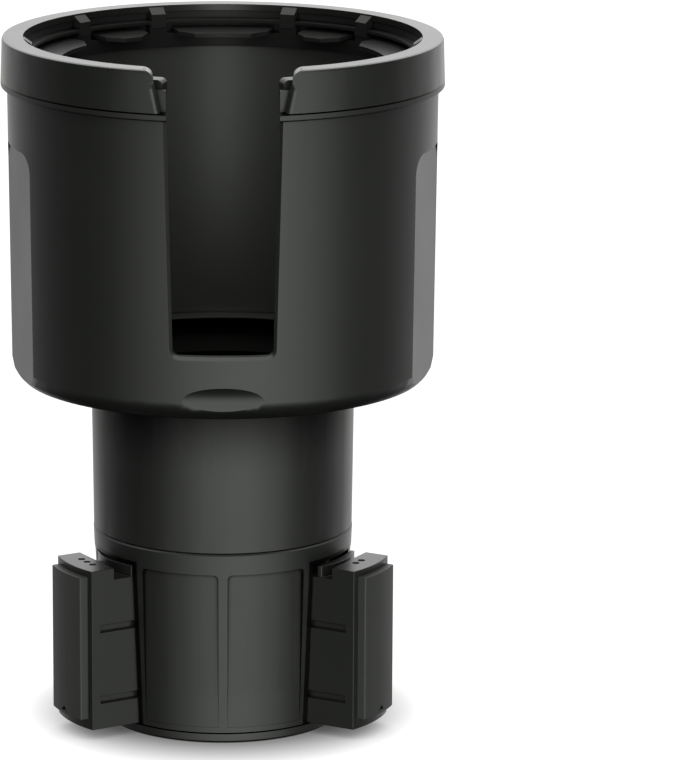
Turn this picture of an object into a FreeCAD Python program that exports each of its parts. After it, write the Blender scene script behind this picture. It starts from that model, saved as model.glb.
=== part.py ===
import FreeCAD, Part
import math
import os
import re
import Sketcher

# Cup holder expander: a wide cup on a narrow neck, which turns on a base that stands in a car's
# cup holder. Under the neck a scroll plate turns with the cup. Its spiral rib runs between the arc
# teeth of three arms, so turning the cup drives the arms out against the holder's wall.
# Millimetres. Z is up and the base stands on Z = 0 with its axis on the origin. The cup's slot
# faces -Y. Azimuths are degrees from -Y towards +X. The arms are drawn part way out.

SIZES = {
    # base
    "plate_thickness": 2.6,
    "base_top_radius": 33.5,
    "base_taper": 1.9,
    "base_wall": 2.0,
    "running_gap": 0.3,
    "deck_thickness": 2.0,
    "sector_wall": 2.0,
    "sector_roof": 2.2,
    "base_edge_chamfer": 0.5,
    "panel_depth": 1.1,
    "panel_round": 1.25,
    "panel_start": 2.0,
    "panel_margin": 5.3,
    "panel_drop": 0.3,
    "panel_rise": 1.6,
    "guide_height": 1.4,
    "guide_depth": 1.1,
    "guide_start": 12.0,
    "lower_guide_rise": 7.0,
    "upper_guide_rise": 25.8,
    # arms
    "arm_width": 18.2,
    "arm_height": 42.0,
    "arm_extension": 11.4,
    "arm_wall": 2.7,
    "arm_outer_wall": 4.0,
    "arm_head_length": 7.7,
    "groove_stop": 3.7,
    "dot_radius": 0.9,
    "dot_depth": 1.2,
    "dot_spacing": 3.0,
    "dot_inset": 4.9,
    "pad_side_margin": 1.6,
    "pad_foot_margin": 2.7,
    "pad_top_margin": 1.7,
    "pad_proud": 2.1,
    "pad_seat_depth": 0.8,
    "pad_round": 0.5,
    "mark_width": 2.2,
    "mark_height": 1.2,
    "mark_depth": 0.5,
    "mark_rise": 0.9,
    # scroll and teeth
    "scroll_pitch": 6.0,
    "rib_thickness": 2.4,
    "rib_first_radius": 16.4,
    "disc_thickness": 2.9,
    "hub_radius": 22.0,
    "hub_bore_radius": 7.0,
    "tooth_height": 2.9,
    "flank_gap": 0.7,
    "tooth_outer_curve": 20.0,
    "tooth_inner_curve": 38.0,
    "tooth_side_gap": 0.3,
    "middle_tooth_curve": 16.0,
    "middle_tooth_reach": 5.0,
    "tooth_tip_gap": 2.5,
    "tooth_inset": 11.9,
    # cup
    "neck_inset": 0.1,
    "neck_draft": 0.4,
    "neck_wall": 2.5,
    "neck_floor": 2.5,
    "neck_height": 35.9,
    "underside_rise": 2.9,
    "bottom_round": 5.0,
    "bowl_bore_radius": 51.5,
    "bowl_taper": 0.65,
    "bowl_height": 75.4,
    "shoulder_overhang": 1.6,
    "shoulder_height": 0.6,
    "shoulder_edge": 1.4,
    "ledge_height": 4.8,
    "ledge_width": 6.4,
    "well_step": 2.9,
    "spigot_height": 5.6,
    "spigot_wall": 1.3,
    "spigot_rebate": 1.1,
    "spigot_step": 0.3,
    "slot_top_half_width": 13.9,
    "slot_taper": 1.5,
    "slot_sill": 16.7,
    "slot_round": 1.8,
    "slot_edge_chamfer": 0.8,
    "dimple_radius": 7.0,
    "dimple_depth": 0.95,
    "dimple_rise": 5.4,
    "facet_centre": 75.8,
    "facet_depth": 1.6,
    "facet_half_width": 12.9,
    "facet_drop": 13.7,
    "facet_round": 5.0,
    # rim band and grip ring
    "band_height": 10.7,
    "band_wall": 2.35,
    "band_taper": 0.35,
    "band_lip": 1.6,
    "band_lip_overhang": 0.9,
    "band_round": 0.7,
    "band_gap_margin": 1.3,
    "band_gap_slant": 1.7,
    "band_gap_round": 2.6,
    "band_end_round": 1.2,
    "fit_gap": 0.1,
    "grip_overhang": 0.5,
    "grip_end_margin": 0.5,
    "post_depth": 2.7,
    "post_sweep": 4.6,
    "post_rise": 1.2,
    "post_fall": 0.4,
    "flap_reach": 9.5,
    "flap_thickness": 1.1,
    "flap_root": 5.1,
    "flap_corner": 3.6,
    "window_foot_gap": 0.5,
    "window_top_gap": 1.0,
    "window_side_gap": 0.4,
    "bead_height": 0.8,
    "grip_draft": 0.9,
    "grip_end_drop": 1.2,
    "grip_end_round": 1.4,
    "flap_fall": 0.7,
    "flap_side_gap": 2.9,
    # screws
    "screw_radius": 1.4,
    "screw_head_radius": 2.9,
    "screw_head_height": 1.3,
    "screw_length": 11.0,
    "screw_tip_gap": 0.8,
    "screw_recess": 1.9,
    "boss_radius": 3.4,
    "boss_roof": 1.2,
    "hub_screw_circle": 15.0,
    "base_screw_inset": 11.0,
    "base_screw_recess": 1.8,
    "driver_radius": 1.5,
    "driver_half_width": 0.35,
    "driver_depth": 0.9,
}

# sizes that follow from the ones above
DERIVED = {
    "base_foot_radius": "base_top_radius - base_taper",
    "chamber_radius": "base_top_radius - base_wall",
    "deck_hole_radius": "hub_radius + running_gap",
    "disc_radius": "base_top_radius - base_wall - running_gap",
    "base_screw_circle": "base_top_radius - base_screw_inset",
    "panel_foot": "plate_thickness + panel_rise",
    "lower_guide": "plate_thickness + running_gap + lower_guide_rise",
    "upper_guide": "plate_thickness + running_gap + upper_guide_rise",
    "guide_end": "base_top_radius - groove_stop - running_gap",
    "arm_tip": "arm_extension + 1.5 * running_gap",
    "notch_position": "arm_extension + base_top_radius - arm_head_length",
    "groove_end": "arm_extension + base_top_radius - groove_stop",
    "dot_position": "arm_extension + base_top_radius - dot_inset",
    "pad_width": "arm_width - 2 * pad_side_margin",
    "pad_foot": "plate_thickness + running_gap + pad_foot_margin",
    "pad_height": "arm_height - pad_foot_margin - pad_top_margin",
    "tooth_thickness": "scroll_pitch - rib_thickness - 2 * flank_gap",
    "tooth_reach": "0.5 * arm_width - tooth_side_gap",
    "first_tooth_radius": "arm_extension + base_top_radius - tooth_inset",
    "rib_last_radius": "base_top_radius - arm_head_length - running_gap - 0.5 * rib_thickness",
    "neck_foot_radius": "base_top_radius - neck_inset",
    "neck_top_radius": "base_top_radius - neck_inset + neck_draft",
    "spigot_bore_radius": "bowl_bore_radius + spigot_rebate",
    "spigot_radius": "spigot_bore_radius + spigot_wall",
    "rim_radius": "spigot_radius + fit_gap + band_wall",
    "rim_top_radius": "rim_radius - band_taper",
    "bowl_top_radius": "rim_radius - shoulder_overhang",
    "bowl_foot_radius": "bowl_top_radius - bowl_taper",
    "well_radius": "bowl_bore_radius - ledge_width",
    "slot_foot_half_width": "slot_top_half_width - slot_taper",
    "facet_height": "bowl_height - facet_drop",
    "band_lip_radius": "bowl_bore_radius - band_lip_overhang",
    "band_gap_foot": "slot_top_half_width + band_gap_margin",
    "band_gap_top": "slot_top_half_width + band_gap_margin + band_gap_slant",
    "grip_radius": "bowl_bore_radius - grip_overhang",
    "post_radius": "grip_radius - post_depth",
    "flap_tip_radius": "grip_radius - flap_reach",
    "base_pilot_depth": "base_screw_recess + screw_length + screw_tip_gap - plate_thickness",
    "hub_pilot_depth": "screw_recess + screw_length + screw_tip_gap - disc_thickness"
                       " - deck_thickness - 2 * running_gap",
}

# Each arm: its direction round the axis and how far its teeth are shifted along it, in pitches, so
# that one turn of the scroll meets all three sets of teeth at the same reach. The arms carry one, two
# and three moulded dots, so that each goes back into its own way.
ARMS = ((90.0, -1.0 / 3.0), (330.0, 1.0 / 3.0), (210.0, 0.0))
WEDGE_SPREAD = 1.4      # half width of an inner tooth for each mm to the arm's tip
SCROLL_START = 210.0                  # direction in which the scroll has the radius of the teeth
HUB_SCREWS = 4
POST_AZIMUTHS = (50.0, 86.0, 130.1, 157.3)   # where each post but the first starts

ARM_FOOT = "plate_thickness + running_gap"
ARM_TOP = ARM_FOOT + " + arm_height"
LEDGE = ARM_TOP + " - tooth_height"
DISC_FOOT = ARM_TOP + " + running_gap"
DISC_TOP = DISC_FOOT + " + disc_thickness"
DECK_FOOT = DISC_TOP + " + running_gap"
HOUSING_TOP = DECK_FOOT + " + deck_thickness"
NECK_FOOT = HOUSING_TOP + " + running_gap"
NECK_TOP = NECK_FOOT + " + neck_height"
BOWL_FOOT = NECK_TOP + " + underside_rise"
BOWL_TOP = BOWL_FOOT + " + bowl_height"
SHOULDER_TOP = BOWL_TOP + " + shoulder_height"
BAND_FOOT = SHOULDER_TOP + " + shoulder_edge"
BAND_TOP = BAND_FOOT + " + band_height"
LIP_FOOT = BAND_TOP + " - band_lip"
GRIP_FOOT = BAND_FOOT + " - spigot_step"

document = FreeCAD.newDocument("cup_holder_expander")
sheet = document.addObject("Spreadsheet::Sheet", "sizes")
for row, (alias, size) in enumerate(SIZES.items(), start=1):
    sheet.set("A%d" % row, alias)
    sheet.set("B%d" % row, str(size))
    sheet.setAlias("B%d" % row, alias)
document.recompute()


def amount(text):
    """The value of a sum or product of named sizes and numbers, such as '2 * wall + gap'."""
    total = 0.0
    for term in text.replace("- ", "+ -").split("+ "):
        term = term.strip()
        if not term:
            continue
        product = -1.0 if term.startswith("-") else 1.0
        for factor in term.lstrip("-").split("*"):
            factor = factor.strip()
            if factor in DERIVED:
                product *= amount(DERIVED[factor])
            elif factor in SIZES:
                product *= float(sheet.get(factor))
            else:
                product *= float(factor)
        total += product
    return total


def formula(text):
    """The same text as an expression on the sheet's cells."""
    def cell(found):
        name = found.group(0)
        return "(" + formula(DERIVED[name]) + ")" if name in DERIVED else "sizes." + name
    return re.sub(r"[a-z][a-z_]+", cell, text)


def negative(text):
    """The same sum with every sign changed."""
    swapped = text.replace(" + ", " # ").replace(" - ", " + ").replace(" # ", " - ")
    return swapped[1:] if swapped.startswith("-") else "-" + swapped


def bind(item, prop, text):
    item.setExpression(prop, formula(text))


def new_body(name):
    body = document.addObject("PartDesign::Body", name)
    body.Label = name
    return body


def origin_part(body, role):
    return [part for part in body.Origin.OriginFeatures if part.Role == role][0]


def new_sketch(body, name, plane, rise="", turn=None):
    """A sketch on one of the body's planes, moved along its normal or turned about Z."""
    sketch = body.newObject("Sketcher::SketchObject", name)
    sketch.AttachmentSupport = [(origin_part(body, plane), "")]
    sketch.MapMode = "FlatFace"
    if turn is not None:
        axis = FreeCAD.Vector(0, 0, 1) if plane == "XY_Plane" else FreeCAD.Vector(0, 1, 0)
        sketch.AttachmentOffset = FreeCAD.Placement(FreeCAD.Vector(), FreeCAD.Rotation(axis, turn))
    if rise:
        bind(sketch, ".AttachmentOffset.Base.z", rise)
    return sketch


def pin(sketch, geometry, end, x_text, y_text):
    """Ties one end of a line or arc to its place, given as lengths from the sketch's origin."""
    for kind, text in (("DistanceX", x_text), ("DistanceY", y_text)):
        if text is not None:
            index = sketch.addConstraint(
                Sketcher.Constraint(kind, -1, 1, geometry, end, amount(text)))
            bind(sketch, "Constraints[%d]" % index, text)


def outline(sketch, corners):
    """A closed outline of straight lines through the corners, each tied to its sizes."""
    points = [FreeCAD.Vector(amount(x), amount(y), 0) for x, y in corners]
    first = sketch.GeometryCount
    for here, there in zip(points, points[1:] + points[:1]):
        sketch.addGeometry(Part.LineSegment(here, there), False)
    for step, (x_text, y_text) in enumerate(corners):
        following = first + (step + 1) % len(corners)
        sketch.addConstraint(Sketcher.Constraint("Coincident", first + step, 2, following, 1))
        pin(sketch, first + step, 1, x_text, y_text)


def rounded(x_text, y_text, radius_text, chords, x_side, y_side):
    """Corners along a quarter round whose edge would be at (x, y), from its foot to its end.

    x_side and y_side say to which side of the edge the material lies, as + or -.
    """
    corners = []
    for step in range(chords + 1):
        slope = 0.5 * math.pi * step / chords
        corners.append(("%s %s %.6f * %s" % (x_text, x_side, 1.0 - math.sin(slope), radius_text),
                        "%s %s %.6f * %s" % (y_text, y_side, 1.0 - math.cos(slope), radius_text)))
    return corners


def circle(sketch, x_text, y_text, radius_text):
    centre = FreeCAD.Vector(amount(x_text), amount(y_text), 0)
    up = FreeCAD.Vector(0, 0, 1)
    index = sketch.addGeometry(Part.Circle(centre, up, amount(radius_text)), False)
    limit = sketch.addConstraint(Sketcher.Constraint("Radius", index, amount(radius_text)))
    bind(sketch, "Constraints[%d]" % limit, radius_text)
    pin(sketch, index, 3, x_text, y_text)


def arc(sketch, centre_text, radius_text, half_width_text):
    """An arc about a centre on the sketch's X axis, from -Y to +Y at the given half width."""
    radius = amount(radius_text)
    reach = math.asin(amount(half_width_text) / radius)
    centre = FreeCAD.Vector(amount(centre_text), 0, 0)
    shape = Part.ArcOfCircle(Part.Circle(centre, FreeCAD.Vector(0, 0, 1), radius), -reach, reach)
    index = sketch.addGeometry(shape, False)
    limit = sketch.addConstraint(Sketcher.Constraint("Radius", index, radius))
    bind(sketch, "Constraints[%d]" % limit, radius_text)
    pin(sketch, index, 3, centre_text, "0")
    pin(sketch, index, 1, None, negative(half_width_text))
    pin(sketch, index, 2, None, half_width_text)
    return index


def corner_arc(sketch, x_text, y_text, radius_text, start, finish):
    """An arc about a point, between two directions in whole quarter turns."""
    radius = amount(radius_text)
    centre = FreeCAD.Vector(amount(x_text), amount(y_text), 0)
    ring = Part.Circle(centre, FreeCAD.Vector(0, 0, 1), radius)
    index = sketch.addGeometry(
        Part.ArcOfCircle(ring, math.radians(start), math.radians(finish)), False)
    limit = sketch.addConstraint(Sketcher.Constraint("Radius", index, radius))
    bind(sketch, "Constraints[%d]" % limit, radius_text)
    pin(sketch, index, 3, x_text, y_text)
    for end, angle in ((1, start), (2, finish)):
        if angle % 180.0:
            pin(sketch, index, end, x_text, None)
        else:
            pin(sketch, index, end, None, y_text)
    return index


def chain(sketch, start, corners, finish):
    """Straight lines from one curve's end, through pinned corners, to another curve's end."""
    points = [FreeCAD.Vector(amount(x), amount(y), 0) for x, y in corners]
    points = [sketch.getPoint(*start)] + points + [sketch.getPoint(*finish)]
    first = sketch.GeometryCount
    for here, there in zip(points, points[1:]):
        sketch.addGeometry(Part.LineSegment(here, there), False)
    last = sketch.GeometryCount - 1
    sketch.addConstraint(Sketcher.Constraint("Coincident", first, 1, *start))
    for line, (x_text, y_text) in enumerate(corners, start=first):
        sketch.addConstraint(Sketcher.Constraint("Coincident", line, 2, line + 1, 1))
        pin(sketch, line, 2, x_text, y_text)
    sketch.addConstraint(Sketcher.Constraint("Coincident", last, 2, *finish))


def extrude(body, kind, sketch, name, length_text, reverse=False, both=False):
    """A Pad or Pocket of the sketch; a pocket has to take material away."""
    before = body.Shape.Volume if kind == "Pocket" else 0.0
    feature = body.newObject("PartDesign::" + kind, name)
    feature.Profile = sketch
    bind(feature, "Length", length_text)
    feature.Reversed = reverse
    if both:
        feature.SideType = "Symmetric"
    finish_feature(body, feature, kind == "Pocket", before)
    return feature


def revolve(body, kind, sketch, name, sweep=360.0):
    """A Revolution or Groove of the sketch about Z."""
    before = body.Shape.Volume if kind == "Groove" else 0.0
    feature = body.newObject("PartDesign::" + kind, name)
    feature.Profile = sketch
    feature.ReferenceAxis = (sketch, ["V_Axis"])
    feature.Angle = sweep
    finish_feature(body, feature, kind == "Groove", before)
    return feature


def finish_feature(body, feature, cuts, before):
    body.Tip = feature
    for sketch in body.Group:
        if sketch.TypeId == "Sketcher::SketchObject":
            sketch.Visibility = False
    document.recompute()
    if cuts and body.Shape.Volume >= before:
        raise ValueError(feature.Name + " takes nothing away")


def polar(body, features, name, copies):
    pattern = body.newObject("PartDesign::PolarPattern", name)
    pattern.Originals = features
    pattern.Axis = (origin_part(body, "Z_Axis"), [""])
    pattern.Angle = 360.0
    pattern.Occurrences = copies
    body.Tip = pattern
    document.recompute()
    return pattern


def mirror(body, features, name):
    pattern = body.newObject("PartDesign::Mirrored", name)
    pattern.Originals = features
    pattern.MirrorPlane = (origin_part(body, "YZ_Plane"), [""])
    body.Tip = pattern
    document.recompute()
    return pattern


def dress(body, kind, name, prop, size_text, chosen):
    """A Fillet or Chamfer on the edges of the body that 'chosen' picks."""
    base = body.Tip
    edges = ["Edge%d" % number for number, edge in enumerate(base.Shape.Edges, start=1)
             if chosen(edge)]
    if not edges:
        raise ValueError(name + " finds no edge")
    feature = body.newObject("PartDesign::" + kind, name)
    feature.Base = (base, edges)
    bind(feature, prop, size_text)
    body.Tip = feature
    document.recompute()
    return feature


def is_ring(edge, radius, height):
    """Whether an edge is an arc about Z with this radius at this height."""
    near = 0.01
    if not isinstance(edge.Curve, Part.Circle):
        return False
    middle = edge.Curve.Center
    on_axis = math.hypot(middle.x, middle.y) < near
    return on_axis and abs(edge.Curve.Radius - radius) < near and abs(middle.z - height) < near


def is_spoke(edge, radius, height):
    """Whether an edge is a straight line at this height that points at Z, outside the radius."""
    near = 0.01
    ends = [vertex.Point for vertex in edge.Vertexes]
    if not isinstance(edge.Curve, Part.Line) or any(abs(end.z - height) > near for end in ends):
        return False
    flat = [FreeCAD.Vector(end.x, end.y, 0) for end in ends]
    return flat[0].cross(flat[1]).Length < near * radius and flat[0].Length > radius


def is_upright(edge):
    near = 0.01
    ends = [vertex.Point for vertex in edge.Vertexes]
    if len(ends) < 2:
        return False
    return math.hypot(ends[0].x - ends[1].x, ends[0].y - ends[1].y) < near


# base plate: closes the base from below and stands on its flat foot
def make_base_plate():
    body = new_body("base_plate")
    sketch = new_sketch(body, "plate_outline", "XY_Plane")
    circle(sketch, "0", "0", "base_foot_radius")
    extrude(body, "Pad", sketch, "plate_disc", "plate_thickness")
    for name, radius, depth in (("plate_screw_hole", "screw_radius + fit_gap", "plate_thickness"),
                                ("plate_screw_seat", "screw_head_radius + fit_gap", "base_screw_recess")):
        sketch = new_sketch(body, name + "_outline", "XY_Plane")
        circle(sketch, "0", "-base_screw_circle", radius)
        hole = extrude(body, "Pocket", sketch, name, depth, reverse=True)
        polar(body, [hole], name + "s", len(ARMS))
    dress(body, "Chamfer", "plate_edge", "Size", "base_edge_chamfer",
          lambda edge: is_ring(edge, amount("base_foot_radius"), 0.0))
    return body


# base housing: band and deck above, three sectors below, with an arm's way between each two
def make_base_housing():
    body = new_body("base_housing")
    sketch = new_sketch(body, "housing_section", "XZ_Plane")
    outline(sketch, [
        ("0", "plate_thickness"),
        ("base_foot_radius", "plate_thickness"),
        ("base_top_radius", HOUSING_TOP),
        ("deck_hole_radius", HOUSING_TOP),
        ("deck_hole_radius", DECK_FOOT),
        ("chamber_radius", DECK_FOOT),
        ("chamber_radius", LEDGE),
        ("0", LEDGE),
    ])
    revolve(body, "Revolution", sketch, "housing_turned")
    dress(body, "Chamfer", "housing_edge", "Size", "base_edge_chamfer",
          lambda edge: is_ring(edge, amount("base_top_radius"), amount(HOUSING_TOP)))

    half_way = "0.5 * arm_width + running_gap"
    sketch = new_sketch(body, "arm_way_outline", "XY_Plane")
    outline(sketch, [
        (negative(half_way), "0"),
        (half_way, "0"),
        (half_way, "2 * base_top_radius"),
        (negative(half_way), "2 * base_top_radius"),
    ])
    way = extrude(body, "Pocket", sketch, "arm_way", DISC_FOOT, reverse=True)
    polar(body, [way], "arm_ways", len(ARMS))

    # each sector is hollow from below: side walls along the arm's ways, an outer wall and a roof
    sketch = new_sketch(body, "sector_hollow_outline", "XY_Plane")
    side = amount(half_way + " + sector_wall")
    reach = amount("base_foot_radius - sector_wall")
    left_angle = math.radians(210.0) + math.asin(side / reach)
    right_angle = math.radians(330.0) - math.asin(side / reach)
    apex = FreeCAD.Vector(0, -2.0 * side / math.sqrt(3.0), 0)
    left = FreeCAD.Vector(reach * math.cos(left_angle), reach * math.sin(left_angle), 0)
    right = FreeCAD.Vector(reach * math.cos(right_angle), reach * math.sin(right_angle), 0)
    rim = Part.Circle(FreeCAD.Vector(), FreeCAD.Vector(0, 0, 1), reach)
    sketch.addGeometry(Part.LineSegment(apex, left), False)
    sketch.addGeometry(Part.ArcOfCircle(rim, left_angle, right_angle), False)
    sketch.addGeometry(Part.LineSegment(right, apex), False)
    hollow = extrude(body, "Pocket", sketch, "sector_hollow", LEDGE + " - sector_roof", reverse=True)
    polar(body, [hollow], "sector_hollows", len(ARMS))

    sketch = new_sketch(body, "base_boss_outline", "XY_Plane", rise="plate_thickness")
    circle(sketch, "0", "-base_screw_circle", "boss_radius")
    boss = extrude(body, "Pad", sketch, "base_boss",
                   "running_gap + arm_height - tooth_height - 0.5 * sector_roof")
    polar(body, [boss], "base_bosses", len(ARMS))
    sketch = new_sketch(body, "base_pilot_outline", "XY_Plane", rise="plate_thickness")
    circle(sketch, "0", "-base_screw_circle", "screw_radius + 0.5 * fit_gap")
    pilot = extrude(body, "Pocket", sketch, "base_pilot", "base_pilot_depth", reverse=True)
    polar(body, [pilot], "base_pilots", len(ARMS))

    # guides that stand out from the walls of each way and run in the arm's grooves
    guides = []
    for name in ("lower_guide", "upper_guide"):
        for side_name, near, far in (
                ("right", half_way + " - guide_depth", half_way + " + 0.5 * sector_wall"),
                ("left", negative(half_way + " - guide_depth"),
                 negative(half_way + " + 0.5 * sector_wall"))):
            sketch = new_sketch(body, name + "_outline_" + side_name, "XY_Plane", rise=name)
            outline(sketch, [
                (near, "guide_start"),
                (far, "guide_start"),
                (far, "guide_end"),
                (near, "guide_end"),
            ])
            guides.append(extrude(body, "Pad", sketch, name + "_" + side_name, "guide_height"))
    polar(body, guides, "guides", len(ARMS))

    # two shallow panels on each sector, deep at the top and fading out at the foot
    half_sector = 60.0 - math.degrees(math.asin(amount(half_way) / amount("base_top_radius")))
    panel_sweep = half_sector - amount("panel_start + panel_margin")
    panels = []
    panel_top = DISC_FOOT + " - panel_drop"
    starts = (amount("panel_start"), -amount("panel_start") - panel_sweep)
    for side_name, start in zip(("right", "left"), starts):
        sketch = new_sketch(body, "panel_section_" + side_name, "XZ_Plane", turn=start - 90.0)
        outline(sketch, [
            ("base_top_radius - panel_depth", panel_top),
            ("2 * base_top_radius", panel_top),
            ("2 * base_top_radius", "panel_foot"),
            ("base_foot_radius", "panel_foot"),
        ])
        panels.append(revolve(body, "Groove", sketch, "panel_" + side_name, panel_sweep))
    polar(body, panels, "panels", len(ARMS))
    dress(body, "Fillet", "panel_corners", "Radius", "panel_round",
          lambda edge: is_spoke(edge, amount("chamber_radius"), amount(panel_top)))
    return body


def turned(angle):
    return FreeCAD.Placement(FreeCAD.Vector(), FreeCAD.Rotation(FreeCAD.Vector(0, 0, 1), angle))


def make_arm_outline(sketch, half_width):
    """The arm from above: an outer face round the retracted base, straight sides and an inner
    wedge of a third of a turn, so that the three arms meet round the axis."""
    face = arc(sketch, "arm_extension", "base_top_radius", half_width)
    shoulder = "arm_tip + %.6f * arm_width" % (0.5 * math.tan(math.radians(30.0)))
    wedge = [(shoulder, half_width), ("arm_tip", "0"), (shoulder, negative(half_width))]
    chain(sketch, (face, 2), wedge, (face, 1))


def make_tooth(body, name, radius_text, reach_text, curve_text):
    """A crescent tooth on the ledge: its outer face is curved more than any turn of the scroll that
    it meets, and its inner face less, so that it runs free at every radius."""
    sketch = new_sketch(body, name + "_outline", "XY_Plane", rise=LEDGE)
    outer = arc(sketch, radius_text + " + 0.5 * tooth_thickness - " + curve_text,
                curve_text, reach_text)
    inner = arc(sketch, radius_text + " - 0.5 * tooth_thickness - tooth_inner_curve",
                "tooth_inner_curve", reach_text)
    chain(sketch, (outer, 2), [], (inner, 2))
    chain(sketch, (inner, 1), [], (outer, 1))
    return extrude(body, "Pad", sketch, name, "tooth_height")


def make_arm(number, turn, shift):
    body = new_body("arm_%d" % number)
    half_width = "0.5 * arm_width"
    sketch = new_sketch(body, "arm_%d_outline" % number, "XY_Plane", rise=ARM_FOOT)
    make_arm_outline(sketch, half_width)
    extrude(body, "Pad", sketch, "arm_%d_block" % number, "arm_height")

    # the ledge that carries the teeth, and the hollow behind the outer wall
    sketch = new_sketch(body, "ledge_outline_%d" % number, "XY_Plane", rise=LEDGE)
    outline(sketch, [("0", "-arm_width"), ("notch_position", "-arm_width"),
                     ("notch_position", "arm_width"), ("0", "arm_width")])
    extrude(body, "Pocket", sketch, "ledge_%d" % number, "2 * tooth_height", reverse=True)
    sketch = new_sketch(body, "hollow_outline_%d" % number, "YZ_Plane")
    low = ARM_FOOT + " + arm_wall"
    high = LEDGE + " - arm_wall"
    inside = half_width + " - arm_wall"
    outline(sketch, [(negative(inside), low), (inside, low), (inside, high), (negative(inside), high)])
    extrude(body, "Pocket", sketch, "hollow_%d" % number,
            "arm_extension + base_top_radius - arm_outer_wall", reverse=True)

    for guide in ("lower_guide", "upper_guide"):
        for side_name, near, far in (("right", half_width + " - guide_depth", "arm_width"),
                                     ("left", negative(half_width + " - guide_depth"), "-arm_width")):
            name = "%s_groove_%s_%d" % (guide, side_name, number)
            sketch = new_sketch(body, name + "_outline", "XY_Plane", rise=guide + " - running_gap")
            outline(sketch, [("0", near), ("groove_end", near), ("groove_end", far), ("0", far)])
            extrude(body, "Pocket", sketch, name, "guide_height + 2 * running_gap", reverse=True)

    # seat for the rubber pad in the outer face
    sketch = new_sketch(body, "pad_seat_outline_%d" % number, "XY_Plane", rise="pad_foot")
    seat = arc(sketch, "arm_extension", "base_top_radius - pad_seat_depth", "0.5 * pad_width")
    far = "arm_extension + 2 * base_top_radius"
    chain(sketch, (seat, 2), [(far, "0.5 * pad_width"), (far, "-0.5 * pad_width")], (seat, 1))
    extrude(body, "Pocket", sketch, "pad_seat_%d" % number, "pad_height", reverse=True)

    # as many teeth as there is room for between the arm's head and its tip
    tip_room = "base_top_radius - tooth_inset - tooth_tip_gap"
    last_tooth = int(amount(tip_room) / amount("scroll_pitch") + shift)
    for tooth in range(last_tooth + 1):
        radius_text = "first_tooth_radius + %.6f * scroll_pitch" % (shift - tooth)
        wedge_text = "%.6f * first_tooth_radius - %.6f * arm_tip + %.6f * scroll_pitch" \
                     " - %.6f * tooth_thickness" % (WEDGE_SPREAD, WEDGE_SPREAD,
                                                   WEDGE_SPREAD * (shift - tooth), 0.5 * WEDGE_SPREAD)
        if tooth == 0:
            reach_text, curve_text = "tooth_reach", "tooth_outer_curve"
        elif amount("middle_tooth_reach") < amount(wedge_text):
            reach_text, curve_text = "middle_tooth_reach", "middle_tooth_curve"
        else:
            reach_text, curve_text = wedge_text, "middle_tooth_curve"
        make_tooth(body, "tooth_%d_of_arm_%d" % (tooth + 1, number), radius_text, reach_text,
                   curve_text)

    sketch = new_sketch(body, "dots_outline_%d" % number, "XY_Plane", rise=ARM_TOP)
    for dot in range(number):
        place = "%.1f * dot_spacing" % (dot - 0.5 * (number - 1))
        circle(sketch, "dot_position", place, "dot_radius")
    extrude(body, "Pocket", sketch, "dots_%d" % number, "dot_depth")
    body.Placement = turned(turn)
    document.recompute()
    return body


def make_arm_pad(number, turn):
    body = new_body("arm_pad_%d" % number)
    sketch = new_sketch(body, "pad_outline_%d" % number, "XY_Plane", rise="pad_foot")
    face = arc(sketch, "arm_extension", "base_top_radius + pad_proud", "0.5 * pad_width")
    back = arc(sketch, "arm_extension", "base_top_radius - pad_seat_depth", "0.5 * pad_width")
    chain(sketch, (face, 2), [], (back, 2))
    chain(sketch, (back, 1), [], (face, 1))
    extrude(body, "Pad", sketch, "pad_plate_%d" % number, "pad_height")
    proud = amount("arm_extension + base_top_radius")
    dress(body, "Fillet", "pad_edges_%d" % number, "Radius", "pad_round",
          lambda edge: is_upright(edge) and edge.Vertexes[0].X > proud)
    sketch = new_sketch(body, "mark_outline_%d" % number, "YZ_Plane",
                        rise="arm_extension + base_top_radius + pad_proud")
    outline(sketch, [
        ("-0.5 * mark_width", "pad_foot + mark_rise"),
        ("0.5 * mark_width", "pad_foot + mark_rise"),
        ("0", "pad_foot + mark_rise + mark_height"),
    ])
    extrude(body, "Pocket", sketch, "mark_%d" % number, "mark_depth")
    body.Placement = turned(turn)
    document.recompute()
    return body


def make_rib(sketch):
    """The scroll's rib from above: two walls of quarter arcs that share their centres.

    The centres go round a square with a side of a quarter pitch, so each turn is one pitch wider. The
    rib lies half a pitch outside the teeth's own spiral, which sets the angle where it begins.
    """
    side = 0.25 * amount("scroll_pitch")
    datum = amount("first_tooth_radius + 0.5 * scroll_pitch")
    half = amount("0.5 * rib_thickness")
    first = SCROLL_START + 90.0 * (amount("rib_first_radius") - datum) / side
    last = SCROLL_START + 90.0 * (amount("rib_last_radius") - datum) / side
    up = FreeCAD.Vector(0, 0, 1)
    centre = (toward(first + 90.0) - toward(first)) * (0.5 * side)
    radius = amount("rib_first_radius") + 0.5 * side
    inner, outer = [], []
    begin = first
    while begin < last - 1.0:
        finish = min(begin + 90.0, last)
        for walls, offset in ((inner, -half), (outer, half)):
            ring = Part.Circle(centre, up, radius + offset)
            walls.append(Part.ArcOfCircle(ring, math.radians(begin), math.radians(finish)))
        centre = centre - toward(finish) * side
        radius += side
        begin = finish
    for wall in inner + outer:
        sketch.addGeometry(wall, False)
    return inner, outer


def toward(azimuth):
    """The unit vector at an angle round the axis."""
    slope = math.radians(azimuth)
    return FreeCAD.Vector(math.cos(slope), math.sin(slope), 0)


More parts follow.
